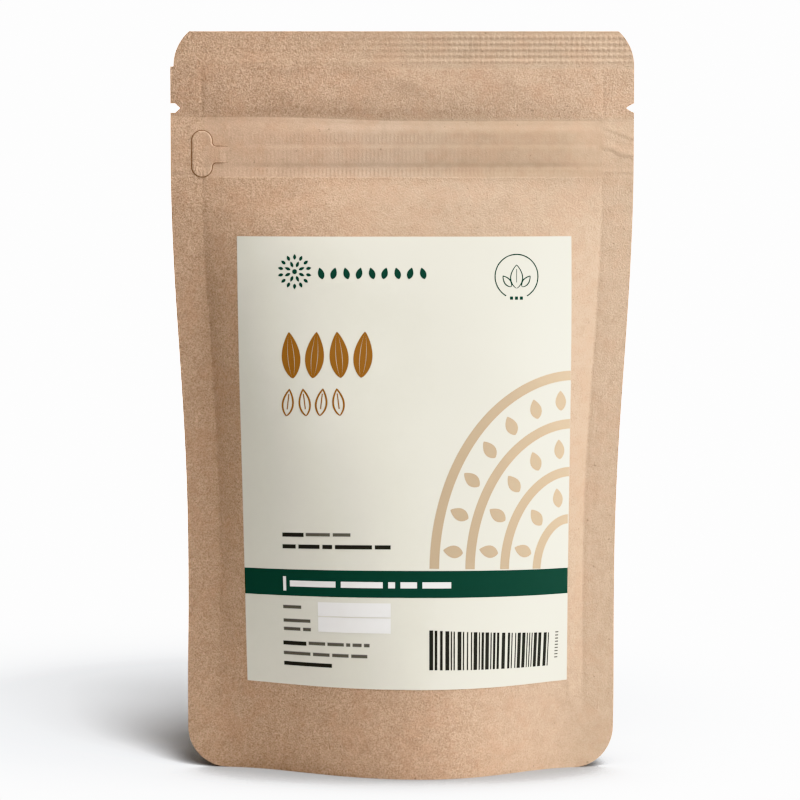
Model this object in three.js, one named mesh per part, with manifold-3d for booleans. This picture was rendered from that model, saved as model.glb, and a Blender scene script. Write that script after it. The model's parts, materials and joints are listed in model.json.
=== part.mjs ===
// A filled, sealed stand-up pouch of kraft paper with a paper label on its front.
// Millimetres, +Z up, front towards -Y. The origin is under the middle of the base.
import * as THREE from 'three';
import { mergeVertices } from 'three/addons/utils/BufferGeometryUtils.js';
import Module from 'manifold-3d';

// Pouch as a flat bag
const pouchWidth = 130;
const pouchHeight = 208;
const sideSeal = 9;
const sealThickness = 0.8;
const topSealHeight = 9.6;

// How far the front stands out from the plane of the side seals
const bodyDepth = 20.4;
const headerDepth = 1.4;
const zipShoulder = 169;
const taperPower = 2.3;
const toeTuck = 1.5;
const toeHeight = 12;
const backFullness = 1.024;

// The section is a rounded wedge at the base and a flat-fronted arch higher up
const wedgeHeight = 130;
const wedgeFade = 1.6;
const apexShift = 5;
const apexHeight = 120;
const archPower = 3;

// Underside, folded up inside its standing rim
const rimShare = 0.1;
const gussetRise = 5;
const gussetEndRise = 8;
const gussetHalfLength = 54;

// Corners, cut by a die that sat a little to the side at the top left
const topCornerRadius = 13;
const topCornerDrop = 9.8;
const dieShift = 0.9;
const bottomCornerRadius = 11.4;

// Tear notches
const notchHeight = 186.5;
const notchHalfWidth = 1.2;
const leftNotchDepth = 2.7;
const leftNotchThroat = 1.4;
const rightNotchDepth = 2.2;

// Zip: raised top rail, thin middle rail, and a crease above its foot
const zipTop = 183.6;
const zipRail = { height: 180.8, halfWidth: 2.4, rise: 0.5 };
const zipLine = { height: 175.8, halfWidth: 1, rise: 0.35 };
const zipCrease = { height: 170.1, halfWidth: 0.9, rise: -0.45 };
const zipFoot = { height: 168.9, halfWidth: 0.9, rise: 0.25 };

// Pressed ribs along the top seal
const ribCount = 5;
const ribTop = 206.2;
const ribPitch = 1.68;
const ribRise = 0.14;

// Label
const labelWidth = 95;
const labelBottom = 25.4;
const labelTop = 150.8;
const labelGap = 0.3;
const labelThickness = 0.25;
const labelColumns = 18;
const labelRows = 15;

const half = pouchWidth / 2;
const crease = half - sideSeal;
const headerBottom = zipTop + 1;
const sealBottom = pouchHeight - topSealHeight;

const manifoldLibrary = await Module();
manifoldLibrary.setup();

// Greatest depth of one panel at a height, measured on its middle line
function middleDepth(z) {
  if (z >= sealBottom) return 0;
  const taper = 1 - Math.min(z / zipShoulder, 1) ** taperPower;
  const tuck = toeTuck * Math.max(0, 1 - z / toeHeight) ** 2;
  const closing = THREE.MathUtils.smoothstep(sealBottom - z, 0, 2);
  return (headerDepth + (bodyDepth - headerDepth) * taper - tuck) * closing;
}

// Share of that depth at a place across the panel, 1 on the middle line and 0 at the crease
function sectionShare(across, z) {
  const apex = apexShift * Math.max(0, 1 - z / apexHeight);
  const reach = across > apex ? crease - apex : crease + apex;
  const t = Math.min(Math.abs(across - apex) / reach, 1);
  const wedge = Math.max(0, 1 - z / wedgeHeight) ** wedgeFade;
  return (1 - wedge) * (1 - t ** archPower) + wedge * (1 - t * t) ** 2;
}

function bulge(across, z) {
  return middleDepth(z) * sectionShare(across, z);
}

// Height of a rounded ridge or groove that runs straight across the pouch
function ridge(z, { height, halfWidth, rise }) {
  const offset = Math.min(Math.abs(z - height) / halfWidth, 1);
  return rise * (1 - offset * offset);
}

function relief(z) {
  let rise = 0;
  for (const rail of [zipRail, zipLine, zipCrease, zipFoot]) rise += ridge(z, rail);
  for (let i = 0; i < ribCount; i += 1) {
    rise += ridge(z, { height: ribTop - i * ribPitch, halfWidth: ribPitch / 2, rise: ribRise });
  }
  return rise;
}

function panelDepth(across, z) {
  return sealThickness / 2 + bulge(across, z) + relief(z);
}

// Paper doesn't stretch, so a panel that bulges gets narrower
function foldedX(across, z) {
  const steps = 24;
  const step = across / steps;
  let x = 0;
  for (let i = 0; i < steps; i += 1) {
    const run = bulge((i + 1) * step, z) - bulge(i * step, z);
    x += Math.sign(across) * Math.sqrt(Math.max(step * step - run * run, 0));
  }
  return x;
}

// Rise of the folded-in base above the floor, inside the rim
function gussetLift(across, layer) {
  const along = Math.min(Math.abs(across) / gussetHalfLength, 1);
  const inside = Math.max(0, 1 - Math.abs(layer) / (1 - rimShare));
  const arch = 1 - (1 - inside) ** 2;
  return (gussetRise + gussetEndRise * along ** 2) * (1 - along ** 10) * arch;
}

// A box with the given grid lines, each of whose points goes to a place of its own
function bentBox(columns, layers, rows, place) {
  const spans = [columns, layers, rows].map((lines) => lines.length - 1);
  const box = new THREE.BoxGeometry(1, 1, 1, ...spans);
  const spots = box.attributes.position;
  const line = (value, lines) => lines[Math.round((value + 0.5) * (lines.length - 1))];
  for (let i = 0; i < spots.count; i += 1) {
    const across = line(spots.getX(i), columns);
    const layer = line(spots.getY(i), layers);
    const z = line(spots.getZ(i), rows);
    spots.setXYZ(i, ...place(across, layer, z));
  }
  box.deleteAttribute('normal');
  box.deleteAttribute('uv');
  return mergeVertices(box, 1e-5);
}

function toManifold(geometry) {
  return new manifoldLibrary.Manifold(new manifoldLibrary.Mesh({
    numProp: 3,
    vertProperties: new Float32Array(geometry.attributes.position.array),
    triVerts: new Uint32Array(geometry.index.array),
  }));
}

function toGeometry(manifold) {
  const mesh = manifold.getMesh();
  const geometry = new THREE.BufferGeometry();
  geometry.setAttribute('position', new THREE.BufferAttribute(mesh.vertProperties, 3));
  geometry.setIndex(new THREE.BufferAttribute(mesh.triVerts, 1));
  geometry.computeVertexNormals();
  return geometry;
}

// A cutter whose outline is drawn in X and Z and runs right through the pouch
function throughCutter(outline) {
  const length = 20;
  const cutter = new THREE.ExtrudeGeometry(outline, {
    depth: length, bevelEnabled: false, curveSegments: 10,
  });
  cutter.rotateX(Math.PI / 2);
  cutter.translate(0, length / 2, 0);
  cutter.deleteAttribute('normal');
  cutter.deleteAttribute('uv');
  return toManifold(mergeVertices(cutter, 1e-5));
}

// Everything outside a round corner; side is -1 or 1, up is -1 at the base and 1 at the top
function cornerCutter(edgeX, z, radius, side, up) {
  const x = edgeX - side * radius;
  const start = side > 0 ? 0 : Math.PI;
  const outline = new THREE.Shape();
  outline.moveTo(edgeX, z);
  outline.absarc(x, z, radius, start, (up * Math.PI) / 2, side * up < 0);
  outline.lineTo(x, z + up * 2 * radius);
  outline.lineTo(x + side * 2 * radius, z + up * 2 * radius);
  outline.lineTo(x + side * 2 * radius, z);
  return throughCutter(outline);
}

function leftNotchCutter() {
  const edge = -half;
  const outline = new THREE.Shape();
  outline.moveTo(edge - 1, notchHeight - notchHalfWidth);
  outline.lineTo(edge + leftNotchThroat, notchHeight - notchHalfWidth);
  outline.lineTo(edge + leftNotchDepth, notchHeight);
  outline.lineTo(edge + leftNotchThroat, notchHeight + notchHalfWidth);
  outline.lineTo(edge - 1, notchHeight + notchHalfWidth);
  return throughCutter(outline);
}

function rightNotchCutter() {
  const bend = half - rightNotchDepth / 2;
  const lip = notchHalfWidth * 0.75;
  const outline = new THREE.Shape();
  outline.moveTo(half + 1, notchHeight + notchHalfWidth);
  outline.lineTo(half, notchHeight + notchHalfWidth);
  outline.quadraticCurveTo(bend, notchHeight + lip, half - rightNotchDepth, notchHeight);
  outline.quadraticCurveTo(bend, notchHeight - lip, half, notchHeight - notchHalfWidth);
  outline.lineTo(half + 1, notchHeight - notchHalfWidth);
  return throughCutter(outline);
}

// Evenly spaced grid lines from one place up to, but not at, another
function lines(from, to, count) {
  return Array.from({ length: count }, (_, i) => from + ((to - from) * i) / count);
}

function pouchColumns() {
  const labelEdge = labelWidth / 2;
  const outer = [half, half - sideSeal / 2, crease, crease - 1.5, ...lines(crease - 4, labelEdge, 2)];
  const middle = lines(-labelEdge, labelEdge, labelColumns);
  return [...outer.map((across) => -across), ...middle, labelEdge, ...outer.reverse()];
}

function ridgeRows({ height, halfWidth }) {
  return [height - halfWidth, height, height + halfWidth];
}

function pouchRows() {
  const ribs = lines(ribTop - (ribCount - 0.5) * ribPitch, ribTop + ribPitch / 2, ribCount * 2);
  return [
    ...lines(0, toeHeight, 3),
    ...lines(toeHeight, labelBottom, 2),
    ...lines(labelBottom, labelTop, labelRows),
    ...lines(labelTop, zipCrease.height - 2.2, 3),
    zipCrease.height - 2.2,
    ...[zipFoot.height, zipCrease.height, zipCrease.height + zipCrease.halfWidth],
    ...ridgeRows(zipLine),
    ...ridgeRows(zipRail),
    zipTop,
    ...lines(headerBottom, sealBottom - 2, 3),
    ...lines(sealBottom - 2, sealBottom, 2),
    sealBottom,
    ...ribs,
    ribTop + ribPitch / 2,
    pouchHeight,
  ];
}

function pouchGeometry() {
  const inner = 1 - rimShare;
  const layers = [-1, -inner, -inner / 2, 0, inner / 2, inner, 1];
  const bag = bentBox(pouchColumns(), layers, pouchRows(), (across, layer, z) => {
    const front = panelDepth(across, z);
    const back = sealThickness / 2 + bulge(across, z) * backFullness + relief(z);
    const y = THREE.MathUtils.lerp(-front, back, (layer + 1) / 2);
    return [foldedX(across, z), y, z === 0 ? gussetLift(across, layer) : z];
  });
  const topCornerZ = pouchHeight - topCornerDrop;
  const baseEdge = (side) => foldedX(side * half, bottomCornerRadius);
  const cutters = [
    cornerCutter(half, topCornerZ, topCornerRadius, 1, 1),
    cornerCutter(-half + dieShift, topCornerZ, topCornerRadius, -1, 1),
    cornerCutter(baseEdge(1), bottomCornerRadius, bottomCornerRadius, 1, -1),
    cornerCutter(baseEdge(-1), bottomCornerRadius, bottomCornerRadius, -1, -1),
    leftNotchCutter(),
    rightNotchCutter(),
  ];
  let pouch = toManifold(bag);
  for (const cutter of cutters) pouch = pouch.subtract(cutter);
  return toGeometry(pouch);
}

// The label lies on the front and shares its grid lines, just clear of the paper
function labelGeometry() {
  const columns = [...lines(-labelWidth / 2, labelWidth / 2, labelColumns), labelWidth / 2];
  const rows = [...lines(labelBottom, labelTop, labelRows), labelTop];
  return bentBox(columns, [-1, 1], rows, (across, layer, z) => {
    const stand = layer < 0 ? labelGap + labelThickness : labelGap;
    return [foldedX(across, z), -(panelDepth(across, z) + stand), z];
  });
}

function namedMesh(name, geometry, colour, roughness) {
  const material = new THREE.MeshStandardMaterial({ color: colour, roughness, metalness: 0 });
  const mesh = new THREE.Mesh(geometry, material);
  mesh.name = name;
  return mesh;
}

const pack = new THREE.Group();
pack.add(namedMesh('pouch', pouchGeometry(), 0xd0a27c, 0.8));
pack.add(namedMesh('label', labelGeometry(), 0xeceadd, 0.6));

export default pack;
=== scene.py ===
# Kraft paper stand-up pouch of anise seed, with its printed label
import json
import math

import bmesh
import bpy
import numpy as np
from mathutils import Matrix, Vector
from mathutils.geometry import tessellate_polygon

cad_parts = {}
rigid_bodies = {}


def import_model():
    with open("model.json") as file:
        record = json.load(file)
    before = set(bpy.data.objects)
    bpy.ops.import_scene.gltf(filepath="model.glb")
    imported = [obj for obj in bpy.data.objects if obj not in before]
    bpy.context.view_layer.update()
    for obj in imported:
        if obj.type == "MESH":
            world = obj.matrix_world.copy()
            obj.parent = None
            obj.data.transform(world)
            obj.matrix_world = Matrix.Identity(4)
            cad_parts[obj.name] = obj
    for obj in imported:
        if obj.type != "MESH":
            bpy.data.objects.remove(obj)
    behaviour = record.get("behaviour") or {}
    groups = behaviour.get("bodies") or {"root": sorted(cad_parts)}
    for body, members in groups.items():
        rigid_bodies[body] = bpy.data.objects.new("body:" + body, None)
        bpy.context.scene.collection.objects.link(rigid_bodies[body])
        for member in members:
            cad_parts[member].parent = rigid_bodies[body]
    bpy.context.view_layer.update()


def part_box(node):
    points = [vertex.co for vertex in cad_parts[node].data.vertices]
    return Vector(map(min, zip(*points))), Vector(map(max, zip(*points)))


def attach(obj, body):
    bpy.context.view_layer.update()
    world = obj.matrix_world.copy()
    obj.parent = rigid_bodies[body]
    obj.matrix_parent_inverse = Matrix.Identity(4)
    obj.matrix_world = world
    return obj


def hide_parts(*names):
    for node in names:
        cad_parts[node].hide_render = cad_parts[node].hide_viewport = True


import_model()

mm = 0.001  # everything below is in millimetres until it is a mesh
pouchBox = [np.array(corner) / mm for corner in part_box("pouch")]
labelBox = [np.array(corner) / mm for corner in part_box("label")]
print("frame loaded, pouch", np.round(pouchBox[1] - pouchBox[0], 1), "mm")


# ---- the filled bag's form, close to its solid's ----

bag = {
    "height": pouchBox[1][2],
    "halfWidth": (pouchBox[1][0] - pouchBox[0][0]) / 2,
    "sideSeal": 9.0,
    "topSeal": 9.6,
    "laminate": 0.26,  # one sheet of paper and film
    "bodyDepth": 20.4,
    "headerDepth": 0.45,
    "zipShoulder": 169.0,
    "taperPower": 2.3,
    "toeTuck": 1.5,
    "toeHeight": 12.0,
    "backFullness": 1.024,
    "wedgeHeight": 130.0,
    "wedgeFade": 2.0,
    "apexShift": 5.0,
    "apexHeight": 120.0,
    "archPower": 3.0,
    # how far each seal sweeps back to its edge: beside the header, the zip and the filled body
    "leftLean": (0.3, 0.0, 0.75),
    "rightLean": (0.8, 1.0, 1.5),
    "leanHeader": (182, 187),  # heights over which one turns into the next
    "leanBody": (167, 158),
    "leanTop": 12,  # the sweep dies out this far below the top edge
    # height and how much fuller than its taper the upper body is
    "swell": [(60, 0.0), (80, 0.3), (100, 0.75), (120, 1.4), (140, 2.2), (150, 2.4), (160, 1.55), (166, 0.2),
              (168.6, 0.2)],
    "swellLag": 11.0,  # how much lower it begins at the left seal
    "swellLagAcross": (-18, -54),
    "swellPower": 4,  # the higher, the flatter it runs to the seals
    "leftPower": 5,  # added at the left, over these heights
    "leftPowerHeights": (146, 160),
}
columnStep = 0.372  # width of the mesh columns, a third of a zip rib
crease = bag["halfWidth"] - bag["sideSeal"]
sealBottom = bag["height"] - bag["topSeal"]


def smoothStep(low, high, value):
    t = np.clip((value - low) / (high - low), 0, 1)
    return t * t * (3 - 2 * t)


def bump(value, centre, width):  # soft rise of 1 at centre
    return np.exp(-((value - centre) / width) ** 2)


def middleDepth(z):
    taper = 1 - np.clip(z / bag["zipShoulder"], 0, 1) ** bag["taperPower"]
    tuck = bag["toeTuck"] * np.clip(1 - z / bag["toeHeight"], 0, 1) ** 2
    full = bag["headerDepth"] + (bag["bodyDepth"] - bag["headerDepth"]) * taper - tuck
    return full * smoothStep(0, 8, sealBottom - z)


def acrossShare(across, z):  # 0 at the apex, 1 at the crease
    apex = bag["apexShift"] * np.clip(1 - z / bag["apexHeight"], 0, 1)
    reach = np.where(across > apex, crease - apex, crease + apex)
    return np.clip(np.abs(across - apex) / reach, 0, 1)


def bulge(across, z):
    t = acrossShare(across, z)
    wedge = np.clip(1 - z / bag["wedgeHeight"], 0, 1) ** bag["wedgeFade"]
    share = (1 - wedge) * (1 - t ** bag["archPower"]) + wedge * (1 - t * t) ** 2
    return middleDepth(z) * share


def foldedX(across, z, steps=24):  # paper keeps its width, so a bulging panel draws in
    step = across / steps
    x = np.zeros(np.broadcast(across, z).shape)
    last = bulge(0 * across, z)
    for i in range(steps):
        here = bulge((i + 1) * step, z)
        x += np.sign(across) * np.sqrt(np.clip(step * step - (here - last) ** 2, 0, None))
        last = here
    return x


# ---- relief pressed or creased into the paper ----

zipLock = {
    # height and how far the paper stands out there, from the foot of the zip to its top
    "profile": [(160.0, 0.0), (165.5, 0.78), (168.2, 0.92), (169.3, 1.02), (169.85, 0.92), (170.3, 0.96),
                (171.2, 1.16), (172.5, 1.24), (175.2, 1.3), (176.3, 1.2), (177.0, 1.22), (179.3, 1.2),
                (180.0, 1.14), (183.2, 0.66), (184.1, 0.5), (184.6, 0.46), (187.6, 0.86), (189.5, 0.92),
                (199.0, 0.4), (202.0, 0.1)],
    "inSeal": 0.25,  # share that is left where the seal crushes it
    "leftRamp": 30,  # how far in from the seal it is fully raised
    "rightRamp": 11,
    "sealRamp": 4,  # and how far out into the seal it fades
    "topFall": 1.15,  # its top edge is lower at the right
    "fallAcross": (-40, 5),
    "fallHeights": (179, 183),
    "knurlPitch": 3,  # mesh columns to each rib of the knurled strips
    "knurl": 0.085,
    "worn": 0.8,  # share of the ribs that is worn off at the right
    "wornAcross": (-5, 40),
    "knurlStrips": [(167.6, 169.6, 1.2), (171.3, 175.2, 0.5), (176.9, 179.5, 0.6)],
}
topSeal = {
    "rows": 5, "firstRow": 206.2, "rowPitch": 1.68, "dotPitch": 1.49, "rise": 0.3,
    "leftShare": 0.22, "fullAcross": (-25, 30),  # the press took less at the left
}
dents = {
    "count": 26, "depth": 0.32, "seed": 5, "reach": 50, "heights": (187, 197),
    "width": (2.5, 8), "height": (1.8, 4.5), "lean": 0.5, "strength": (-1, 0.8),
}
waves = {"count": 14, "rise": 0.256, "seed": 11, "length": (22, 60), "foot": 8, "heights": (170, 150)}
seam = {
    "depth": 0.08, "headerDepth": 0.1, "width": 0.5, "foot": (8, 40), "header": (184, 187),
    "besideZip": ((166, 168.5), (186, 184)),
}
wrinkles = {
    # beside the zip's right end: height at the seam, fall a millimetre outward and waver, then
    # how much higher, rise and width of each ridge and groove
    "folds": [
        (175.2, 0.36, 0.3, ((0.9, 0.2, 1.1), (-0.3, -0.1, 0.4))),
        (181.4, 0.38, 0.0, ((0.0, 0.1, 0.8), (-0.9, -0.08, 0.4))),
        (168.6, 0.0, 0.0, ((0.0, 0.1, 0.5), (-0.6, -0.1, 0.35))),
    ],
    "waverRate": 1.1,
    "plateau": 0.12,  # step in the left seal, beside the pull tab
    "plateauHeights": ((168.0, 168.6), (184.0, 183.4)),
}
pucker = {
    "left": 0.2, "right": 0.35, "across": 50, "height": 24, "length": 7, "width": 1.4,
    "along": (0.7, 0.55), "beside": (0.62, 0.5),
}


def curve(points, value):  # soft steps between a list of places
    places, rises = (np.array(column) for column in zip(*points))
    slot = np.clip(np.searchsorted(places, value) - 1, 0, len(places) - 2)
    t = np.clip((value - places[slot]) / (places[slot + 1] - places[slot]), 0, 1)
    soft = 0.5 * t + 0.5 * t * t * (3 - 2 * t)
    return rises[slot] + (rises[slot + 1] - rises[slot]) * soft


def zipRelief(across, z):
    lower = smoothStep(*zipLock["fallAcross"], across) * smoothStep(*zipLock["fallHeights"], z)
    rise = curve(zipLock["profile"], z + zipLock["topFall"] * lower)
    turn = 2 * math.pi * across / (zipLock["knurlPitch"] * columnStep)
    left = 1 - zipLock["worn"] * smoothStep(*zipLock["wornAcross"], across)
    for low, high, strength in zipLock["knurlStrips"]:
        strip = smoothStep(low - 0.2, low + 0.2, z) * smoothStep(high + 0.2, high - 0.2, z)
        rise = rise + zipLock["knurl"] * strength * left * strip * np.sin(turn)
    full = crease - np.where(across < 0, zipLock["leftRamp"], zipLock["rightRamp"])
    inside = smoothStep(crease + zipLock["sealRamp"], full, np.abs(across))
    return rise * (zipLock["inSeal"] + (1 - zipLock["inSeal"]) * inside)


def swell(across, z):
    t = acrossShare(across, z)
    power = bag["swellPower"] + bag["leftPower"] * smoothStep(*bag["leftPowerHeights"], z) * (across < 0)
    lag = bag["swellLag"] * smoothStep(*bag["swellLagAcross"], across)
    return curve(bag["swell"], z + lag) * (1 - t ** power)


def topSealRelief(across, z, side):
    row = (topSeal["firstRow"] - z) / topSeal["rowPitch"]
    inRows = smoothStep(-0.6, -0.3, row) * smoothStep(0.6, 0.3, row - topSeal["rows"] + 1)
    ribs = 0.5 + 0.5 * np.cos(2 * math.pi * row)
    dots = 0.5 + 0.5 * np.cos(2 * math.pi * across / topSeal["dotPitch"])
    right = smoothStep(*topSeal["fullAcross"], -side * across)
    pressed = topSeal["leftShare"] + (1 - topSeal["leftShare"]) * right
    return topSeal["rise"] * pressed * inRows * ribs ** 2 * (0.25 + 0.75 * dots)


def headerDents(across, z, side):
    draw = np.random.default_rng(dents["seed"] + side)
    rise = 0 * across
    for _ in range(dents["count"]):
        middle, level = draw.uniform(-dents["reach"], dents["reach"]), draw.uniform(*dents["heights"])
        width, height = draw.uniform(*dents["width"]), draw.uniform(*dents["height"])
        lean = draw.uniform(-dents["lean"], dents["lean"])
        depth = draw.uniform(*dents["strength"]) * dents["depth"]
        rise = rise + depth * bump(across + lean * (z - level), middle, width) * bump(z, level, height)
    return rise * smoothStep(crease, crease - 4, np.abs(across)) * smoothStep(0, 3, sealBottom - z)


def bodyWaves(across, z, side):  # slow unevenness of a bag full of seed
    draw = np.random.default_rng(waves["seed"] + side)
    rise = 0 * across
    for _ in range(waves["count"]):
        length = draw.uniform(*waves["length"])
        angle = draw.uniform(0, math.pi)
        phase = draw.uniform(0, 2 * math.pi)
        run = math.cos(angle) * across + math.sin(angle) * z
        rise = rise + np.sin(2 * math.pi * run / length + phase) * length / waves["length"][1]
    level = smoothStep(*waves["heights"], z) * smoothStep(0, waves["foot"], z)
    inBody = smoothStep(crease, crease - waves["foot"], np.abs(across)) * level
    return rise * waves["rise"] * inBody / math.sqrt(waves["count"])


def seamGroove(across, z):  # where each side seal begins
    along = smoothStep(*seam["foot"], z) * smoothStep(sealBottom + 1, sealBottom - 2, z)
    foot, edge = seam["besideZip"]
    clear = 1 - smoothStep(*foot, z) * smoothStep(*edge, z)
    depth = seam["depth"] + seam["headerDepth"] * smoothStep(*seam["header"], z)
    return -depth * along * clear * bump(np.abs(across), crease + 0.1, seam["width"])


def sealWrinkles(across, z):  # the zip's crushed ends pucker the side seals
    out = across - crease
    creased = 0 * across
    for height, fall, waver, lines in wrinkles["folds"]:
        middle = height - fall * out + waver * np.sin(across * wrinkles["waverRate"])
        for higher, rise, width in lines:
            creased = creased + rise * bump(z, middle + higher, width)
    low, high = wrinkles["plateauHeights"]
    plateau = wrinkles["plateau"] * smoothStep(*low, z) * smoothStep(*high, z)
    return smoothStep(-1, 1.5, out) * creased + smoothStep(crease + 0.5, crease + 2.5, -across) * plateau


def cornerPucker(across, z):  # short slack folds that run to the lower corners
    rise = 0 * across
    below = pucker["height"] - z
    for side, amount in ((1, pucker["right"]), (-1, pucker["left"])):
        out = side * across - pucker["across"]
        run = out * pucker["along"][0] + below * pucker["along"][1]
        off = out * pucker["beside"][0] - below * pucker["beside"][1]
        rise = rise + amount * bump(off, 0, pucker["width"]) * bump(run, 0, pucker["length"])
    return rise * smoothStep(2, 8, z) * smoothStep(50.6, 52, np.abs(across))


def sealLean(across, z):  # the seals sweep back a little toward their edges
    atHeader, atBody = smoothStep(*bag["leanHeader"], z), smoothStep(*bag["leanBody"], z)
    left, right = (lock + (header - lock) * atHeader + (body - lock) * atBody
                   for header, lock, body in (bag["leftLean"], bag["rightLean"]))
    lean = left + (right - left) * smoothStep(-crease, crease, across)
    lean = lean * smoothStep(bag["height"], bag["height"] - bag["leanTop"], z)
    return lean * np.clip((bag["halfWidth"] - np.abs(across)) / bag["sideSeal"], 0, 1)


def relief(across, z, side):
    own = sealWrinkles(across * -side, z) if side < 0 else 0.5 * sealWrinkles(-across, z)
    return (sealLean(across, z) + swell(across, z) + zipRelief(across, z) + topSealRelief(across, z, side)
            + headerDents(across, z, side) + bodyWaves(across, z, side) + seamGroove(across, z)
            + own + cornerPucker(across, z))


def panelPoint(across, z, side=-1, lift=0.0):  # a place on the front (-1) or the back (1)
    full = bag["backFullness"] if side > 0 else 1.0
    out = bag["laminate"] + bulge(across, z) * full + relief(across, z, side) + lift
    return np.stack([foldedX(across, z), side * out, z + 0 * across], axis=-1)


# ---- meshes ----

sharpAngle = 50  # degrees between faces from which an edge isn't smoothed
stripStep = 1.6  # most that a thin strip's mesh cells measure


def gridFaces(rows, columns, start=0):
    corner = start + np.arange(rows - 1)[:, None] * columns + np.arange(columns - 1)[None, :]
    return np.stack([corner, corner + 1, corner + columns + 1, corner + columns], -1).reshape(-1, 4).tolist()


def meshObject(name, points, faces, material):
    mesh = bpy.data.meshes.new(name)
    mesh.from_pydata((np.asarray(points) * mm).tolist(), [], faces)
    work = bmesh.new()
    work.from_mesh(mesh)
    bmesh.ops.recalc_face_normals(work, faces=work.faces)
    work.to_mesh(mesh)
    work.free()
    mesh.shade_smooth()
    mesh.set_sharp_from_angle(angle=math.radians(sharpAngle))
    mesh.materials.append(material)
    piece = bpy.data.objects.new(name, mesh)
    bpy.context.collection.objects.link(piece)
    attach(piece, "root")
    return piece


def slab(place, across, z, bottom, top):  # closed thin sheet over a grid of places on the bag
    rows, columns = across.shape
    size = rows * columns
    points = np.concatenate([place(across, z, lift).reshape(-1, 3) for lift in (top, bottom)])
    faces = gridFaces(rows, columns) + gridFaces(rows, columns, size)
    rim = list(range(columns)) + [r * columns + columns - 1 for r in range(1, rows)]
    rim += [size - 1 - c for c in range(1, columns)] + [r * columns for r in range(rows - 2, 0, -1)]
    faces += [[a, b, b + size, a + size] for a, b in zip(rim, rim[1:] + rim[:1])]
    return points, faces


def ribbon(edgeA, edgeB):  # a shape that lies between two lines of points
    edgeA, edgeB = np.asarray(edgeA, float), np.asarray(edgeB, float)
    width = np.linalg.norm(edgeB - edgeA, axis=1).max()
    share = np.linspace(0, 1, max(2, math.ceil(width / stripStep) + 1))[None, :, None]
    grid = edgeA[:, None, :] + (edgeB - edgeA)[:, None, :] * share
    return grid[..., 0], grid[..., 1]


def stroke(line, width):  # a line of points given a width
    line = np.asarray(line, float)
    run = np.gradient(line, axis=0)
    side = np.stack([-run[:, 1], run[:, 0]], 1) / np.linalg.norm(run, axis=1)[:, None]
    half = np.broadcast_to(width, len(line))[:, None] / 2
    return ribbon(line - side * half, line + side * half)


def arcLine(centre, radii, start, end, count):  # points on an arc, its angles in degrees
    angle = np.radians(np.linspace(start, end, count))
    return np.stack([centre[0] + radii[0] * np.cos(angle), centre[1] + radii[1] * np.sin(angle)], 1)


# ---- the pouch's cut outline ----

cut = {
    "topRadius": 13.0,
    "topDrop": 9.8,  # the top arc's centre below the top edge
    "dieShift": 0.9,  # how far in the left die sat
    "bottomRadius": 11.4,
    "notchHeight": 186.5,
    "notchHalfWidth": 1.2,
    "leftNotch": 2.7,
    "leftThroat": 1.4,
    "rightNotch": 2.2,
}
gusset = {
    "rise": 4.2, "endRise": 9.0, "reach": 54, "endPower": 10, "rim": 0.4, "wall": 1.1, "sag": 0.3,
    "foldRise": 0.5, "foldWidth": 0.8, "foldFrom": (2, 6), "rows": 20, "rowPower": 1.9,
}
rowStep = {"arc": 15, "body": 1.5, "zip": 0.36, "notch": 13, "corner": 0.7, "topArc": 30}
zipRowsFrom = 166.6
compressFrom = 44.0  # columns outside this place follow the outline
meetingGap = 0.01  # between the two halves where they meet


def pouchRows():
    footArc = cut["bottomRadius"] * (1 - np.cos(np.linspace(0, math.pi / 2, rowStep["arc"])))
    low, high = (cut["notchHeight"] + way * cut["notchHalfWidth"] for way in (-1, 1))
    arcBase = bag["height"] - cut["topDrop"]
    parts = [
        footArc,
        np.arange(cut["bottomRadius"] + rowStep["body"], zipRowsFrom - 0.4, rowStep["body"]),
        np.arange(zipRowsFrom, low - 0.2, rowStep["zip"]),
        [low - 0.01, low + 0.01],
        np.linspace(low, high, rowStep["notch"])[1:-1],
        [high - 0.01, high + 0.01],
        np.arange(high + 0.6, arcBase - 0.3, rowStep["corner"]),
        [arcBase - 0.01, arcBase + 0.01],
        np.linspace(arcBase + 0.3, bag["height"], rowStep["topArc"]),
    ]
    return np.concatenate(parts)


def outlineX(z, sideX):  # where the die cut the bag, seen from the front
    arcBase = bag["height"] - cut["topDrop"]
    radius = cut["bottomRadius"]
    edge = abs(foldedX(np.array([sideX * bag["halfWidth"]]), np.array([max(z, radius)]))[0])
    if z > arcBase:
        radius = cut["topRadius"]
        edge = bag["halfWidth"] - (cut["dieShift"] if sideX < 0 else 0)
        edge += math.sqrt(radius ** 2 - (z - arcBase) ** 2) - radius
    elif z < radius:
        edge += math.sqrt(radius ** 2 - (radius - z) ** 2) - radius
    off = abs(z - cut["notchHeight"]) / cut["notchHalfWidth"]
    if off < 1 and sideX < 0:
        edge -= cut["leftThroat"] + (cut["leftNotch"] - cut["leftThroat"]) * (1 - off)
    elif off < 1:
        edge -= cut["rightNotch"] * (1 - off) ** 0.8
    return edge


def pouchSheet():  # where each mesh column lies across each row
    rows = pouchRows()
    count = 2 * round(bag["halfWidth"] / columnStep) + 1
    columns = np.linspace(-bag["halfWidth"], bag["halfWidth"], count)
    table = np.linspace(-bag["halfWidth"], bag["halfWidth"], 521)
    across = np.empty((len(rows), count))
    for i, z in enumerate(rows):
        xs = foldedX(table, np.full(table.shape, z))
        for sideX in (-1, 1):
            edge = abs(np.interp(sideX * outlineX(z, sideX), xs, table))
            share = (edge - compressFrom) / (bag["halfWidth"] - compressFrom)
            mine = columns * sideX >= 0
            size = np.abs(columns[mine])
            squeezed = np.where(size > compressFrom, compressFrom + (size - compressFrom) * share, size)
            across[i, mine] = sideX * squeezed
    return across, np.repeat(rows[:, None], count, axis=1)


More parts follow.
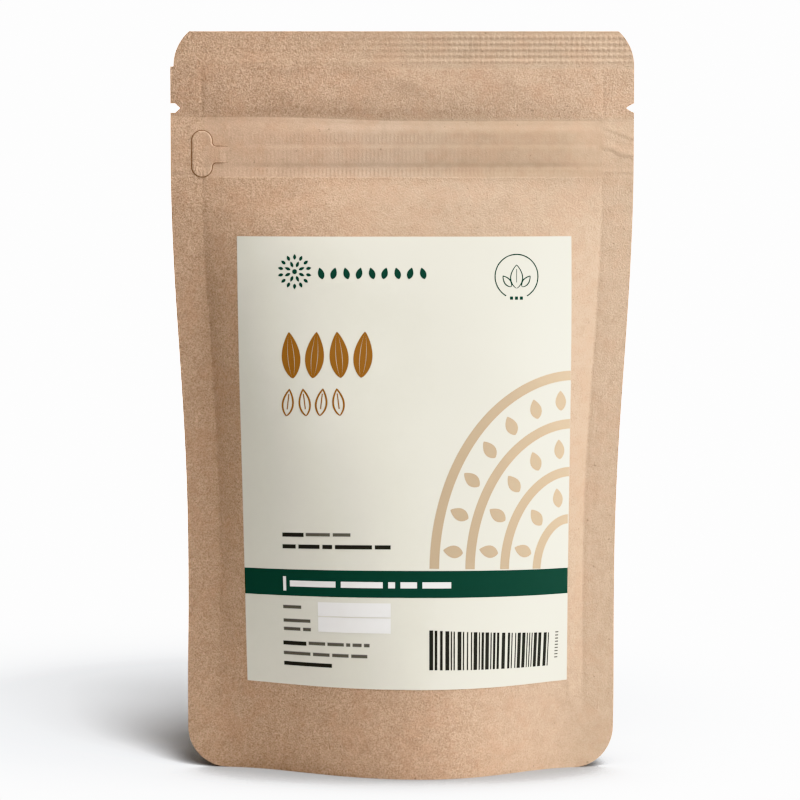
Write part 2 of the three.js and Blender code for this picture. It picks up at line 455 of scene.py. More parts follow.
def gussetRows(rim, across, side):  # from the standing rim in to the base's centre fold
    along = np.clip(np.abs(across) / gusset["reach"], 0, 1)
    lift = (gusset["rise"] + gusset["endRise"] * along ** 2) * (1 - along ** gusset["endPower"])
    depth = np.abs(rim[:, 1]) - meetingGap
    foldRise = gusset["foldRise"] * smoothStep(*gusset["foldFrom"], depth)
    rows = []
    for i in range(1, gusset["rows"] + 1):
        inward = depth * (i / gusset["rows"]) ** gusset["rowPower"]
        climb = 1 - np.exp(-np.clip(inward - gusset["rim"], 0, None) / gusset["wall"])
        sag = 1 - gusset["sag"] * (inward / depth) ** 2
        z = lift * climb * sag + foldRise * bump(depth - inward, 0, gusset["foldWidth"])
        rows.append(np.stack([rim[:, 0], side * (meetingGap + depth - inward), z], axis=-1))
    return rows


def pouchHalf(name, side, material):
    across, z = pouchSheet()
    outer = panelPoint(across, z, side)
    rows, columns = across.shape
    folded = gussetRows(outer[0], across[0], side)
    points = [outer.reshape(-1, 3)]
    faces = gridFaces(rows, columns)
    start = rows * columns
    gussetStarts = []
    for row in folded:
        points.append(row)
        gussetStarts.append(start)
        start += columns
    above = 0
    for begin in gussetStarts:
        faces += [[above + c, above + c + 1, begin + c + 1, begin + c] for c in range(columns - 1)]
        above = begin
    fold = gussetStarts[-1]

    # the cut edge runs in to the middle, where the two halves meet
    def edgeLine(picked):
        nonlocal start
        line = picked.copy()
        line[:, 1] = side * meetingGap
        points.append(line)
        begin = start
        start += len(line)
        return list(range(begin, begin + len(line)))

    left = [fold] + edgeLine(outer[1:, 0])
    right = [fold + columns - 1] + edgeLine(outer[1:, -1])
    top = [left[-1]] + edgeLine(outer[-1, 1:-1]) + [right[-1]]
    for column, line in ((0, left), (columns - 1, right)):
        corner = [begin + column for begin in reversed(gussetStarts[:-1])]
        faces.append([columns + column, line[1], line[0], *corner, column])
        faces += [[r * columns + column, (r + 1) * columns + column, line[r + 1], line[r]]
                  for r in range(1, rows - 1)]
    last = (rows - 1) * columns
    faces += [[last + c, last + c + 1, top[c + 1], top[c]] for c in range(columns - 1)]
    points = np.concatenate(points)
    loop = list(range(fold, fold + columns)) + right[1:] + top[-2:0:-1] + left[:0:-1]
    flat = [Vector((points[i][0], points[i][2], 0)) for i in loop]
    faces += [[loop[i] for i in triangle] for triangle in tessellate_polygon([flat])]
    piece = meshObject(name, points, faces, material)
    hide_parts("pouch")
    return piece


# ---- shader groups ----

def feed(tree, socket, value):  # from another node's socket, or a fixed colour or number
    if isinstance(value, bpy.types.NodeSocket):
        tree.links.new(value, socket)
    else:
        socket.default_value = (*value, 1) if socket.type == "RGBA" else value


def addNode(tree, kind, fed=None, **settings):
    node = tree.nodes.new(kind)
    for key, value in settings.items():
        setattr(node, key, value)
    for key, value in (fed or {}).items():
        feed(tree, node.inputs[key], value)
    return node


def maths(tree, operation, a, b=0.0):
    return addNode(tree, "ShaderNodeMath", {0: a, 1: b}, operation=operation).outputs[0]


def spread(tree, value, low, high, toLow=0.0, toHigh=1.0):
    fed = {"Value": value, "From Min": low, "From Max": high, "To Min": toLow, "To Max": toHigh}
    return addNode(tree, "ShaderNodeMapRange", fed, interpolation_type="SMOOTHSTEP").outputs["Result"]


def ownPlace(tree):  # a point's place in its piece, in metres
    return addNode(tree, "ShaderNodeTexCoord").outputs["Object"]


def noise(tree, place, scale, detail, rough, warp=0.0):
    fed = {"Vector": place, "Scale": scale, "Detail": detail, "Roughness": rough, "Distortion": warp}
    return addNode(tree, "ShaderNodeTexNoise", fed).outputs["Fac"]


def turned(tree, place, degrees):  # turned about the depth axis, before any stretching
    fed = {"Vector": place, "Angle": math.radians(degrees)}
    return addNode(tree, "ShaderNodeVectorRotate", fed, rotation_type="Y_AXIS").outputs["Vector"]


def stretched(tree, place, scale):
    return addNode(tree, "ShaderNodeVectorMath", {0: place, 1: scale}, operation="MULTIPLY").outputs[0]


def mixColour(tree, factor, a, b, blend="MIX"):
    fed = {0: factor, 6: a, 7: b}
    return addNode(tree, "ShaderNodeMix", fed, data_type="RGBA", blend_type=blend).outputs[2]


def bumpNormal(tree, shader, height, strength, distance):
    node = addNode(tree, "ShaderNodeBump", {"Height": height, "Strength": strength, "Distance": distance})
    feed(tree, shader.inputs["Normal"], node.outputs["Normal"])


paperLook = {
    "cloudScale": 300, "grainScale": 2300, "speckScale": 1100,
    # how each set of fibres lies, in degrees, and how close they are along it
    "fibres": ((22, 500), (51, 620), (98, 480), (142, 560)),
    "fibreAcross": (1500, 2800),
    "fibreHeight": 0.3,
}


def paperGroup():  # grain of any paper: pulp clouds, fine grain and fibres
    group = bpy.data.node_groups.new("paperGrain", "ShaderNodeTree")
    place = ownPlace(group)
    cloud = noise(group, place, paperLook["cloudScale"], 3, 0.6)
    grain = noise(group, place, paperLook["grainScale"], 2, 0.6, 0.6)
    fibre = None
    for angle, length in paperLook["fibres"]:
        lying = stretched(group, turned(group, place, angle), (length, *paperLook["fibreAcross"]))
        strand = spread(group, noise(group, lying, 1.0, 1, 0.4, 0.6), 0.6, 0.74)
        fibre = strand if fibre is None else maths(group, "MAXIMUM", fibre, strand)
    speck = spread(group, noise(group, place, paperLook["speckScale"], 1, 0.3), 0.76, 0.8)
    height = maths(group, "ADD", grain, maths(group, "MULTIPLY", fibre, paperLook["fibreHeight"]))
    out = group.nodes.new("NodeGroupOutput")
    for title, value in {"Cloud": cloud, "Grain": grain, "Speck": speck, "Height": height}.items():
        group.interface.new_socket(title, in_out="OUTPUT", socket_type="NodeSocketFloat")
        group.links.new(value, out.inputs[title])
    return group


paperGrain = paperGroup()


def newMaterial(name):
    material = bpy.data.materials.new(name)
    material.use_nodes = True
    return material, material.node_tree, material.node_tree.nodes["Principled BSDF"]


def grainNode(tree):
    return addNode(tree, "ShaderNodeGroup", node_tree=paperGrain).outputs


# ---- kraft paper ----

kraftLook = {
    "base": (0.535, 0.352, 0.232),
    "pale": (0.76, 0.56, 0.41),
    "deep": (0.30, 0.175, 0.10),
    "red": (0.53, 0.31, 0.195),
    "pressed": (0.60, 0.43, 0.315),
    "speck": (0.24, 0.15, 0.09),
    "clouds": 0.16,  # strength of the pulp clouds, the red blotches and the dark specks
    "blotches": 0.32,
    "specks": 0.6,
    "blotchScale": 110,
    "roughness": 0.56,
    "roughSpread": 0.05,
    "specular": 0.45,
    "grainBump": 1.0,
    "grainDepth": 0.0004,
    "contrast": (0.5, 0.15),  # of the grain, on the painted shade side and on the painted lit side
    "bump": (0.8, 0.45),
    # painted light: the paper is warmer and deeper on its shaded left, cooler and paler on its lit right
    "tint": ((1.035, 1.01, 0.985), (0.93, 1.006, 1.05)),
    "paintedLightAcross": (-0.035, 0.035),  # metres across the pack at this height over which the painted light turns from shade to lit
    "paintedLightLevel": 0.1,
    "paintedLightSlant": 0.3,  # it begins further left above there, up to this height
    "paintedLightTop": 0.15,
    "zipZone": (0.1672, 0.1842, 0.0004),  # heights where the hot zip pressed the paper, and their softness
    "zipContrast": 0.35,
    "zipBump": 0.25,
    "zipEnd": (0.054, 0.0575),  # in the seals less of it is left
    "zipInSeal": 0.4,
    "zipPale": (0.75, 0.0),  # how much paler it is at the left and at the right of this
    "zipPaleAcross": (-0.02, 0.03),
    "header": (0.1848, 0.1985, 0.0009),  # slack paper with a coarser face
    "headerBump": 1.35,
    "headerContrast": 0.1,
    "headerRed": 0.12,
    # the painted light is weaker on the slack header
    "headerPaintedLight": 0.6,
}


def zone(tree, low, high, soft, height, topHeight=None):
    rising = spread(tree, height, low - soft, low + soft)
    falling = spread(tree, topHeight or height, high - soft, high + soft, 1.0, 0.0)
    return maths(tree, "MULTIPLY", rising, falling)


def scaled(tree, value, mask, low, high):  # a value times low where the mask is 0, and high where it is 1
    return maths(tree, "MULTIPLY", value, spread(tree, mask, 0.0, 1.0, low, high))


def kraftMasks(tree, place):  # where the zip pressed the paper, where it is slack, and the painted light from the shaded left to the lit right
    look = kraftLook
    parts = addNode(tree, "ShaderNodeSeparateXYZ", {0: place})
    across, height = parts.outputs["X"], parts.outputs["Z"]
    fallFrom, fallTo = (side * mm for side in zipLock["fallAcross"])
    fall = spread(tree, across, fallFrom, fallTo, 0.0, zipLock["topFall"] * mm)
    fallen = maths(tree, "ADD", height, fall)
    slack = zone(tree, *look["header"], fallen)
    inner = spread(tree, maths(tree, "ABSOLUTE", across), *look["zipEnd"], 1.0, look["zipInSeal"])
    pressed = maths(tree, "MULTIPLY", zone(tree, *look["zipZone"], height, fallen), inner)
    # painted light: a mask from the shaded left to the lit right, slanting further left higher up
    above = maths(tree, "SUBTRACT", maths(tree, "MINIMUM", height, look["paintedLightTop"]), look["paintedLightLevel"])
    slanted = maths(tree, "ADD", across, maths(tree, "MULTIPLY", above, look["paintedLightSlant"]))
    paintedLight = scaled(tree, spread(tree, slanted, *look["paintedLightAcross"]), slack, 1.0, look["headerPaintedLight"])
    pale = maths(tree, "MULTIPLY", pressed, spread(tree, across, *look["zipPaleAcross"], *look["zipPale"]))
    return pressed, pale, slack, paintedLight


def kraftMaterial():
    look = kraftLook
    material, tree, shader = newMaterial("kraftPaper")
    grain = grainNode(tree)
    place = ownPlace(tree)
    pressed, pale, slack, paintedLight = kraftMasks(tree, place)

    fine = mixColour(tree, spread(tree, grain["Grain"], 0.3, 0.7), look["deep"], look["pale"])
    # the grain shows more on the painted shade side and less on the painted lit side
    contrast = spread(tree, paintedLight, 0.0, 1.0, *look["contrast"])
    contrast = maths(tree, "ADD", contrast, maths(tree, "MULTIPLY", slack, look["headerContrast"]))
    contrast = scaled(tree, contrast, pressed, 1.0, look["zipContrast"])
    colour = mixColour(tree, contrast, mixColour(tree, pale, look["base"], look["pressed"]), fine)
    clouds = spread(tree, grain["Cloud"], 0.4, 0.7, 0.0, look["clouds"])
    colour = mixColour(tree, clouds, colour, look["deep"])
    blotch = spread(tree, noise(tree, place, look["blotchScale"], 4, 0.7), 0.45, 0.65, 0.0, look["blotches"])
    blotch = maths(tree, "ADD", blotch, maths(tree, "MULTIPLY", slack, look["headerRed"]))
    colour = mixColour(tree, blotch, colour, look["red"])
    colour = mixColour(tree, maths(tree, "MULTIPLY", grain["Speck"], look["specks"]), colour, look["speck"])
    # painted light: the tint warms the shaded left and cools and pales the lit right
    colour = mixColour(tree, 1.0, colour, mixColour(tree, paintedLight, *look["tint"]), "MULTIPLY")
    feed(tree, shader.inputs["Base Color"], colour)

    smooth, rough = (look["roughness"] + way * look["roughSpread"] for way in (-1, 1))
    feed(tree, shader.inputs["Roughness"], spread(tree, grain["Cloud"], 0.3, 0.7, smooth, rough))
    shader.inputs["Specular IOR Level"].default_value = look["specular"]
    strength = spread(tree, paintedLight, 0.0, 1.0, *look["bump"])
    strength = scaled(tree, strength, slack, 1.0, look["headerBump"])
    strength = scaled(tree, strength, pressed, 1.0, look["zipBump"])
    height = maths(tree, "MULTIPLY", grain["Height"], strength)
    bumpNormal(tree, shader, height, look["grainBump"], look["grainDepth"])
    return material


kraftPaper = kraftMaterial()
print("materials for the bag ready")

for pieceName, pieceSide in (("pouch_front", -1), ("pouch_back", 1)):
    made = pouchHalf(pieceName, pieceSide, kraftPaper)
    print(pieceName, len(made.data.polygons), "faces")


# ---- pull tab, die-cut into the front sheet over the zip ----

tab = {
    "headX": -56.1, "headHalfWidth": 2.85, "middle": 173.75, "straight": 3.6,
    "neckLow": 171.3, "neckHigh": 175.8, "neckEnd": -48.7, "fillet": 1.15,
    "rise": 0.2, "slitWidth": 0.42, "taper": 2.5, "under": -0.05, "slitTop": 0.03,
    "slitColour": (0.20, 0.10, 0.045), "slitRoughness": 0.9, "rows": 60, "columns": 41,
}


def tabEdges(z):  # left and right edge of the tab at a height
    off = abs(z - tab["middle"]) - tab["straight"]
    bow = tab["headHalfWidth"] if off <= 0 else math.sqrt(max(tab["headHalfWidth"] ** 2 - off ** 2, 0))
    right = tab["headX"] + bow
    if tab["neckLow"] < z < tab["neckHigh"]:
        return tab["headX"] - bow, tab["neckEnd"]
    beyond = tab["neckLow"] - z if z <= tab["neckLow"] else z - tab["neckHigh"]
    if beyond < tab["fillet"]:
        right += tab["fillet"] - math.sqrt(tab["fillet"] ** 2 - (tab["fillet"] - beyond) ** 2)
    return tab["headX"] - bow, right


def frontPoint(across, z, lift):
    return panelPoint(across, z, lift=lift)


def pullTab():
    reach = tab["straight"] + tab["headHalfWidth"]
    heights = [tab["middle"] - reach * math.cos(math.pi * i / tab["rows"]) for i in range(tab["rows"] + 1)]
    for level in (tab["neckLow"], tab["neckHigh"]):
        heights += [level - 0.005, level + 0.005]
    heights = sorted(heights)
    edges = np.array([tabEdges(z) for z in heights])
    across = edges[:, :1] + (edges[:, 1:] - edges[:, :1]) * np.linspace(0, 1, tab["columns"])[None, :]
    z = np.repeat(np.array(heights)[:, None], tab["columns"], axis=1)
    fade = smoothStep(tab["neckEnd"], tab["neckEnd"] - tab["taper"], across)
    inward = np.minimum(across - edges[:, :1], np.where(fade < 1, reach, edges[:, 1:] - across))
    inward = np.minimum(inward, reach - np.abs(z - tab["middle"]))
    top = tab["rise"] * smoothStep(-0.02, 0.35, inward) * fade
    points, faces = slab(frontPoint, across, z, tab["under"], top + 0.01)
    piece = meshObject("pull_tab", points, faces, kraftPaper)


def tabSlit():  # the cut around the tab shows the paper's brown core
    radius, fillet = tab["headHalfWidth"], tab["fillet"]
    left, right = tab["headX"] - radius, tab["headX"] + radius + fillet
    high, low = tab["middle"] + tab["straight"], tab["middle"] - tab["straight"]
    line = np.concatenate([
        np.linspace((tab["neckEnd"], tab["neckHigh"]), (right + 0.3, tab["neckHigh"]), 8),
        arcLine((right, tab["neckHigh"] + fillet), (fillet, fillet), -90, -180, 9),
        arcLine((tab["headX"], high), (radius, radius), 0, 180, 31),
        np.linspace((left, high - 0.5), (left, low + 0.5), 10),
        arcLine((tab["headX"], low), (radius, radius), 180, 359, 31),
        arcLine((right, tab["neckLow"] - fillet), (fillet, fillet), 179, 90, 9),
        np.linspace((right + 0.3, tab["neckLow"]), (tab["neckEnd"], tab["neckLow"]), 8),
    ])
    taper = np.clip((tab["neckEnd"] + 0.1 - line[:, 0]) / tab["taper"], 0.15, 1)
    across, z = stroke(line, tab["slitWidth"] * taper)
    points, faces = slab(frontPoint, across, z, tab["under"], tab["slitTop"])
    material, _, shader = newMaterial("cutPaper")
    shader.inputs["Base Color"].default_value = (*tab["slitColour"], 1)
    shader.inputs["Roughness"].default_value = tab["slitRoughness"]
    piece = meshObject("tab_slit", points, faces, material)


pullTab()
tabSlit()


# ---- paper label ----

labelCut = {
    "leftTop": -46.4, "leftBottom": -47.1, "rightTop": 47.4, "rightBottom": 50.9,
    "bottom": labelBox[0][2] + 0.1, "top": labelBox[1][2], "proud": 0.16, "paper": 0.12,
    "rows": 96, "columns": 90,
}
labelHalf = 48.0
printBow = 1.1  # the print runs a touch lower toward the label's sides


def labelSide(side, z):  # where the label's left or right edge runs
    share = (labelCut["top"] - z) / (labelCut["top"] - labelCut["bottom"])
    return labelCut[side + "Top"] + (labelCut[side + "Bottom"] - labelCut[side + "Top"]) * share


def labelPoint(across, z, lift=0.0):  # the label bridges the fine relief of the bag
    height = np.clip((z - labelCut["bottom"]) / (labelCut["top"] - labelCut["bottom"]), 0, 1)
    z = z - printBow * np.sin(math.pi * height) * (across / labelHalf) ** 2 * (lift > 0)
    broad = bulge(across, z) + bodyWaves(across, z, -1) + sealLean(across, z) + swell(across, z)
    out = bag["laminate"] + broad + labelCut["proud"] + lift
    return np.stack([foldedX(across, z), -out, z + 0 * across], axis=-1)


labelLook = {
    "paper": (0.695, 0.669, 0.587), "roughness": 0.7, "specular": 0.15, "clouds": 0.05,
    "grainBump": 0.06, "grainDepth": 0.00005,
}


def labelMaterial(name, colour):
    material, tree, shader = newMaterial(name)
    grain = grainNode(tree)
    clouds = spread(tree, grain["Cloud"], 0.3, 0.75, 0.0, labelLook["clouds"])
    soft = mixColour(tree, clouds, colour, tuple(0.8 * part for part in colour))
    feed(tree, shader.inputs["Base Color"], soft)
    shader.inputs["Roughness"].default_value = labelLook["roughness"]
    shader.inputs["Specular IOR Level"].default_value = labelLook["specular"]
    bumpNormal(tree, shader, grain["Height"], labelLook["grainBump"], labelLook["grainDepth"])
    return material


def makeLabel():
    columns = labelCut["columns"]
    z = np.linspace(labelCut["bottom"], labelCut["top"], labelCut["rows"])
    left, right = labelSide("left", z), labelSide("right", z)
    across = left[:, None] + (right - left)[:, None] * np.linspace(0, 1, columns)[None, :]
    points, faces = slab(labelPoint, across, np.repeat(z[:, None], columns, axis=1), -labelCut["paper"], 0.0)
    piece = meshObject("label", points, faces, labelMaterial("labelPaper", labelLook["paper"]))
    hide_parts("label")


makeLabel()


# ---- print on the label: fields of colour and simple shapes ----

ink = {"bottom": 0.006, "top": 0.03}
inks = {
    "green": (0.012, 0.047, 0.031),
    "ochre": (0.29, 0.125, 0.032),
    "tan": (0.485, 0.37, 0.25),
    "dark": (0.032, 0.031, 0.027),
    "grey": (0.13, 0.12, 0.10),
    "white": (0.80, 0.78, 0.76),
}


def bar(left, bottom, width, height):
    count = max(2, math.ceil(width / stripStep) + 1)
    low, high = (np.linspace((left, z), (left + width, z), count) for z in (bottom, bottom + height))
    return ribbon(low, high)


def arc(centre, radii, start, end, width):
    length = math.radians(abs(end - start)) * max(radii)
    return stroke(arcLine(centre, radii, start, end, max(25, math.ceil(2 * length))), width)


def seedEdge(centre, length, width, lean, count=33):
    t = np.linspace(0.004, 0.996, count)
    half = width / 2 * np.sin(math.pi * t ** 0.85) ** 0.8 + 0.01
    axis = np.array([math.sin(math.radians(lean)), math.cos(math.radians(lean))])
    cross = np.array([axis[1], -axis[0]])
    middle = np.asarray(centre) + (t - 0.5)[:, None] * length * axis
    return middle, cross, half[:, None]


def seed(centre, length, width, lean):  # one solid seed, its lean clockwise in degrees
    middle, cross, half = seedEdge(centre, length, width, lean, 21)
    return [ribbon(middle - cross * half, middle + cross * half)]


def ribbedSeed(centre, length, width, lean, ribs, gap):
    middle, cross, half = seedEdge(centre, length, width, lean)
    bounds = np.linspace(-1, 1, ribs + 1)
    strips = []
    for low, high in zip(bounds[:-1], bounds[1:]):
        inset = gap / width * np.clip(half / (width / 2), 0.2, 1)
        a = middle + cross * half * (low + (inset if low > -1 else 0))
        b = middle + cross * half * (high - (inset if high < 1 else 0))
        strips.append(ribbon(a, b))
    return strips


def outlinedSeed(centre, length, width, lean, line, midrib=True):
    middle, cross, half = seedEdge(centre, length, width, lean)
    inner = np.clip(half - line, 0.0, None)
    strips = [ribbon(middle + cross * way * inner, middle + cross * way * half) for way in (-1, 1)]
    if midrib:
        strips.append(ribbon(middle[8:-6] - cross * line * 0.3, middle[8:-6] + cross * line * 0.3))
    return strips


def blockRow(left, middle, lengths, height, gap):
    strips = []
    for length in lengths:
        strips.append(bar(left, middle - height / 2, length, height))
        left += length + gap
    return strips


def printPiece(name, strips, colour, lift=0.0):
    points, faces = [], []
    count = 0
    for across, z in strips:
        part, partFaces = slab(labelPoint, across, z, ink["bottom"] + lift, ink["top"] + lift)
        points.append(part)
        faces += [[index + count for index in face] for face in partFaces]
        count += len(part)
    material = labelMaterial(name.replace("print", "ink"), colour)
    piece = meshObject(name, np.concatenate(points), faces, material)


rosette = {
    # each ring's radius, its count, length and width of seeds, and its turn in steps
    "centre": (-30.0, 141.2), "rings": ((4.05, 14, 1.5, 0.85, 0), (2.15, 8, 1.7, 0.8, 0.5)), "dot": 0.35,
}
leafRow = {
    "count": 9, "left": -22.6, "pitch": 3.55, "middle": 140.7, "height": 3.3, "width": 1.75, "lean": 16,
}
badge = {
    "centre": (31.9, 139.9), "radius": 6.05, "line": 0.34, "ends": (-61, 241), "leaf": (6.6, 3.7),
    "sideLeaf": (4.0, 2.0), "sideAcross": 2.7, "sideDrop": 1.3, "sideLean": 38, "marks": (1.9, 5.9),
}
bigSeeds = {
    "count": 4, "left": -31.1, "pitch": 6.75, "middle": 118.3, "height": 12.8, "width": 5.3, "lean": 5,
    "ribs": 3, "gap": 0.13,
}
smallSeeds = {
    "count": 4, "left": -32.0, "pitch": 4.75, "middle": 105.3, "height": 7.7, "width": 3.5, "lean": -7,
    "line": 0.55,
}
band = {"bottom": 51.1, "top": 58.6, "columns": 70}
fan = {
    "centre": (49.4, 58.6), "tall": 1.34, "radii": (10.5, 20.5, 30.5, 40.5), "line": 2.7,
    "rings": ((15.5, 3), (25.5, 5), (35.5, 7)), "leaf": (5.6, 3.5),
}
# white blocks: left edge, bottom, width and height
whiteBlocks = ((-34.3, 52.5, 0.95, 4.1), (-23.9, 45.65, 20.7, 3.9), (-23.9, 41.15, 20.7, 4.2))
# rows of blocks: left end, middle height, lengths of the blocks, their height and gap
whiteRow = (-32.2, 54.6, (13.5, 11.8, 1.9, 4.6, 8.0), 1.7, 1.5)
greyRows = (
    (-27.2, 68.5, (7.0, 5.0), 0.95, 0.8),
    (-34.5, 47.9, (5.6,), 0.95, 0.8),
    (-34.5, 44.0, (8.3,), 0.95, 0.8),
    (-34.5, 41.6, (5.2, 2.4), 0.95, 0.8),
    (-26.9, 37.7, (5.0, 4.8, 1.2, 2.6, 1.6), 0.95, 0.65),
    (-34.8, 34.6, (8.4, 5.0, 4.8, 4.6), 0.95, 0.75),
)
darkRows = (
    (-34.2, 68.4, (6.4,), 1.15, 0.8),
    (-34.2, 65.1, (4.0, 6.2, 2.8, 10.4, 4.4), 1.15, 0.8),
    (-34.8, 37.5, (7.2,), 1.15, 0.8),
    (-34.8, 31.6, (14.8,), 1.1, 0.8),
)
edgeMarks = {"count": 9, "left": 46.2, "bottom": 32.4, "pitch": 0.92, "width": 1.2, "height": 0.42}
uprightBars = {
    # a block of upright bars of drawn widths, a little lower and shorter toward the right
    "left": 7.5, "right": 44.0, "bottom": 31.0, "height": 11.1, "fall": 0.02, "shrink": 0.036,
    "widths": (0.4, 0.4, 0.75, 1.1), "gaps": (0.4, 0.4, 0.75), "seed": 7,
}


def seedRow(row, shape, *more):  # a row of seeds that lean to and fro
    strips = []
    for i in range(row["count"]):
        place = row["left"] + row["pitch"] * i, row["middle"]
        lean = row["lean"] if i % 2 else -row["lean"]
        strips += shape(place, row["height"], row["width"], lean, *more)
    return strips


def greenPrint():
    strips = []
    for ring, count, length, width, offset in rosette["rings"]:
        for i in range(count):
            turn = 360 * (i + offset) / count
            way = np.array([math.sin(math.radians(turn)), math.cos(math.radians(turn))])
            strips += seed(rosette["centre"] + way * ring, length, width, turn)
    dot = rosette["dot"]
    strips.append(arc(rosette["centre"], (dot, dot), 0, 360, 2 * dot - 0.02))
    strips += seedRow(leafRow, seed)
    middle, level = badge["centre"]
    strips.append(arc(badge["centre"], (badge["radius"], badge["radius"]), *badge["ends"], badge["line"]))
    strips += outlinedSeed(badge["centre"], *badge["leaf"], 0, badge["line"])
    for way in (-1, 1):
        place = middle + way * badge["sideAcross"], level - badge["sideDrop"]
        strips += outlinedSeed(place, *badge["sideLeaf"], way * badge["sideLean"], badge["line"], False)
    strips += blockRow(middle - badge["marks"][0], level - badge["marks"][1], (0.9, 0.9, 0.9), 0.9, 0.5)
    printPiece("print_green", strips, inks["green"])


def bandPrint():
    lines = []
    for z in (band["bottom"], band["top"]):
        lines.append(np.linspace((labelSide("left", z), z), (labelSide("right", z), z), band["columns"]))
    printPiece("print_band", [ribbon(*lines)], inks["green"])
    strips = [bar(*block) for block in whiteBlocks] + blockRow(*whiteRow)
    printPiece("print_white", strips, inks["white"], ink["top"])


def ochrePrint():
    strips = seedRow(bigSeeds, ribbedSeed, bigSeeds["ribs"], bigSeeds["gap"])
    strips += seedRow(smallSeeds, outlinedSeed, smallSeeds["line"])
    printPiece("print_ochre", strips, inks["ochre"])


def tanPrint():
    centre = np.array(fan["centre"])
    strips = []
    for radius in fan["radii"]:
        top = centre[1] + radius * fan["tall"]
        end = math.degrees(math.acos(max(centre[0] - labelSide("right", top), 0) / radius))
        strips.append(arc(centre, (-radius, radius * fan["tall"]), 0.6, end, fan["line"]))
    for ring, count in fan["rings"]:
        for i in range(count):
            angle = math.radians(90 * (i + 0.5) / count)
            way = np.array([-math.cos(angle), fan["tall"] * math.sin(angle)])
            strips += seed(centre + ring * way, *fan["leaf"], math.degrees(math.atan2(*way)))
    printPiece("print_tan", strips, inks["tan"])


def smallPrint():
    grey = [strip for line in greyRows for strip in blockRow(*line)]
    for i in range(edgeMarks["count"]):
        level = edgeMarks["bottom"] + edgeMarks["pitch"] * i
        grey.append(bar(edgeMarks["left"], level, edgeMarks["width"], edgeMarks["height"]))
    printPiece("print_grey", grey, inks["grey"])
    dark = [strip for line in darkRows for strip in blockRow(*line)]
    draw = np.random.default_rng(uprightBars["seed"])
    left = uprightBars["left"]
    while left < uprightBars["right"]:
        along = left - uprightBars["left"]
        wide = draw.choice(uprightBars["widths"])
        dark.append(bar(left, uprightBars["bottom"] - uprightBars["fall"] * along, wide,
                        uprightBars["height"] - uprightBars["shrink"] * along))
        left += wide + draw.choice(uprightBars["gaps"])
    printPiece("print_dark", dark, inks["dark"])


greenPrint()
bandPrint()
ochrePrint()
tanPrint()
smallPrint()
print("label and its print ready")


# ---- stage, lights and camera ----

stage = {
    "floorSize": 6.0,
    "floorNear": 0.90,  # what the floor throws back close to the pack, and far off
    "floorFar": 0.75,
    "floorFade": (0.2, 0.5),  # metres from the pack
    "seenColour": (0.98, 1.0, 1.025),  # the floor as the camera sees it, so that it burns out to white
    "contact": 0.045,  # reach of the painted contact shadow, a dark line where the pack stands
    "contactDark": 0.35,
    # suns that cast the pack's shadow on it: bearing, height angle, softness in degrees, brightness
    "floorSuns": ((25, 35, 40, 1.25), (35, 65, 20, 0.46)),
    "shadowCentre": (-0.05, 0.1, 0.0),
    "whiteFade": (0.085, 0.21),  # metres from there over which the floor turns white
    "clearFrom": 0.7,  # openness from which it may turn white
    "white": 4.2,
    "ambient": 0.19,
    "ambientTint": (1.04, 1.0, 0.95),
}
lights = {
    # bearing from the front, height angle, distance, size, brightness of a surface facing it, tint
    "sideLight": (72, 20, 0.5, 0.3, 1.05, (0.965, 1.0, 1.025)),
    "topLight": (20, 75, 0.8, 0.5, 1.2, (1.0, 1.0, 1.0)),
}
lightTarget = Vector((0, 0, 0.1))
cameraSetup = {
    "x": -0.000617, "distance": 0.950, "height": 0.18253, "pitch": 4.697, "lens": 152.09, "sensor": 36.0,
}


def floorPlane(name):
    half = stage["floorSize"] / 2
    mesh = bpy.data.meshes.new(name)
    corners = [(-half, -half, 0), (half, -half, 0), (half, half, 0), (-half, half, 0)]
    mesh.from_pydata(corners, [], [(0, 1, 2, 3)])
    floor = bpy.data.objects.new(name, mesh)
    bpy.context.collection.objects.link(floor)
    material = bpy.data.materials.new(name)
    material.use_nodes = True
    material.node_tree.nodes.remove(material.node_tree.nodes["Principled BSDF"])
    mesh.materials.append(material)
    return floor, material.node_tree


def floorDistance(tree, centre=(0.0, 0.0, 0.0)):
    fed = {0: ownPlace(tree), 1: centre}
    return addNode(tree, "ShaderNodeVectorMath", fed, operation="DISTANCE").outputs["Value"]


def makeFloor():
    lit, tree = floorPlane("floorBounce")  # throws light back on the pack
    away = spread(tree, floorDistance(tree), *stage["floorFade"], stage["floorNear"], stage["floorFar"])
    matt = addNode(tree, "ShaderNodeBsdfDiffuse", {"Color": away})
    feed(tree, tree.nodes["Material Output"].inputs["Surface"], matt.outputs[0])
    lit.location.z = -0.0002
    lit.visible_camera = False

    seen, tree = floorPlane("floor")  # only the camera sees this one
    for ray in ("diffuse", "glossy", "transmission", "shadow"):
        setattr(seen, "visible_" + ray, False)
    # painted contact shadow: the floor's colour darkens where the pack stands close over it
    reach = {"Distance": stage["contact"]}
    near = addNode(tree, "ShaderNodeAmbientOcclusion", reach, samples=8).outputs["AO"]
    touch = spread(tree, near, 0.5, 1.0, stage["contactDark"], 1.0)
    shaded = mixColour(tree, touch, (0, 0, 0), stage["seenColour"])
    matt = addNode(tree, "ShaderNodeBsdfDiffuse", {"Color": shaded})
    white = addNode(tree, "ShaderNodeEmission", {"Strength": stage["white"]})
    far = spread(tree, floorDistance(tree, stage["shadowCentre"]), *stage["whiteFade"])
    burnt = maths(tree, "MULTIPLY", far, spread(tree, near, stage["clearFrom"], 1.0))
    mix = addNode(tree, "ShaderNodeMixShader", {0: burnt, 1: matt.outputs[0], 2: white.outputs[0]})
    feed(tree, tree.nodes["Material Output"].inputs["Surface"], mix.outputs[0])
    return seen


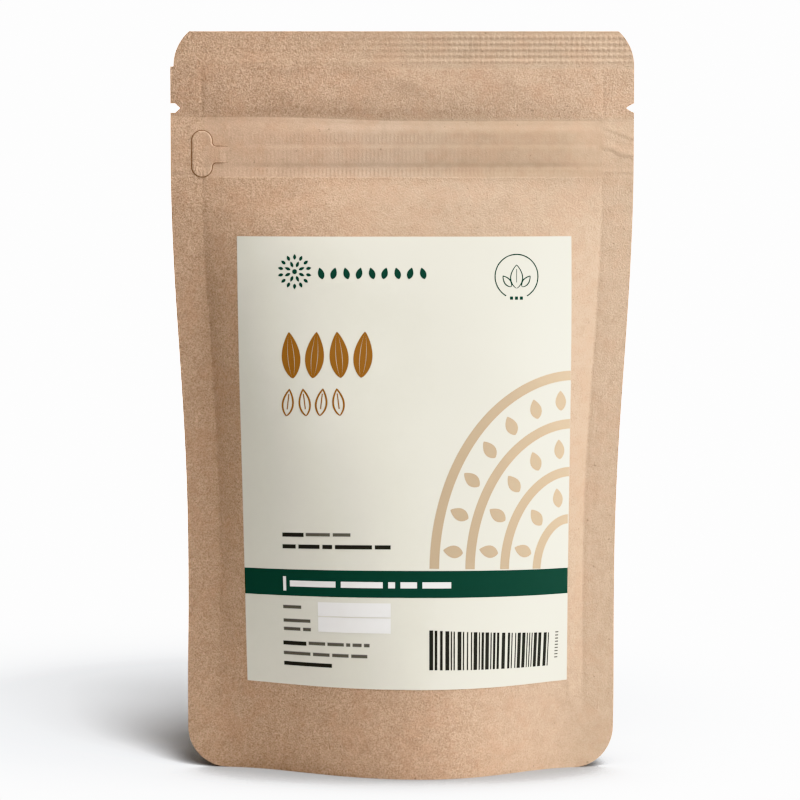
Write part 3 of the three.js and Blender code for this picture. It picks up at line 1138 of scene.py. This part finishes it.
def makeWorld():
    world = bpy.data.worlds.new("studio")
    bpy.context.scene.world = world
    world.use_nodes = True
    tree = world.node_tree
    soft = tree.nodes["Background"]
    feed(tree, soft.inputs["Color"], stage["ambientTint"])
    feed(tree, soft.inputs["Strength"], stage["ambient"])
    seen = addNode(tree, "ShaderNodeBackground", {"Color": (1, 1, 1), "Strength": stage["white"]})
    direct = addNode(tree, "ShaderNodeLightPath").outputs["Is Camera Ray"]
    mix = addNode(tree, "ShaderNodeMixShader", {0: direct, 1: soft.outputs[0], 2: seen.outputs[0]})
    feed(tree, tree.nodes["World Output"].inputs["Surface"], mix.outputs[0])


def lightWay(bearing, rise):
    turn, tilt = math.radians(bearing), math.radians(rise)
    return Vector((math.sin(turn) * math.cos(tilt), -math.cos(turn) * math.cos(tilt), math.sin(tilt)))


def makeLights(seenFloor):
    pack = bpy.data.collections.new("packLit")
    for piece in bpy.context.scene.objects:
        if piece.type == "MESH" and piece != seenFloor:
            pack.objects.link(piece)
    for name, (bearing, rise, distance, size, strength, tint) in lights.items():
        data = bpy.data.lights.new(name, "AREA")
        data.shape = "DISK"
        data.size = size
        data.energy = math.pi ** 2 * distance ** 2 * strength
        data.color = tint
        light = bpy.data.objects.new(name, data)
        way = lightWay(bearing, rise)
        light.location = lightTarget + way * distance
        light.rotation_euler = way.to_track_quat("Z", "Y").to_euler()
        light.light_linking.receiver_collection = pack
        bpy.context.collection.objects.link(light)

    ground = bpy.data.collections.new("floorLit")
    ground.objects.link(seenFloor)
    for bearing, rise, softness, strength in stage["floorSuns"]:
        data = bpy.data.lights.new("floorSun", "SUN")
        data.angle = math.radians(softness)
        data.energy = math.pi * strength
        sun = bpy.data.objects.new("floorSun", data)
        sun.rotation_euler = lightWay(bearing, rise).to_track_quat("Z", "Y").to_euler()
        sun.light_linking.receiver_collection = ground
        bpy.context.collection.objects.link(sun)


def makeCamera():
    data = bpy.data.cameras.new("camera")
    data.lens = cameraSetup["lens"]
    data.sensor_width = cameraSetup["sensor"]
    data.clip_start = 0.05
    camera = bpy.data.objects.new("camera", data)
    camera.location = (cameraSetup["x"], -cameraSetup["distance"], cameraSetup["height"])
    camera.rotation_euler = (math.radians(90 - cameraSetup["pitch"]), 0, 0)
    bpy.context.collection.objects.link(camera)
    bpy.context.scene.camera = camera


makeWorld()
makeLights(makeFloor())
makeCamera()
bpy.context.scene.view_settings.view_transform = "Khronos PBR Neutral"
bpy.context.scene.view_settings.look = "None"
print("stage ready")
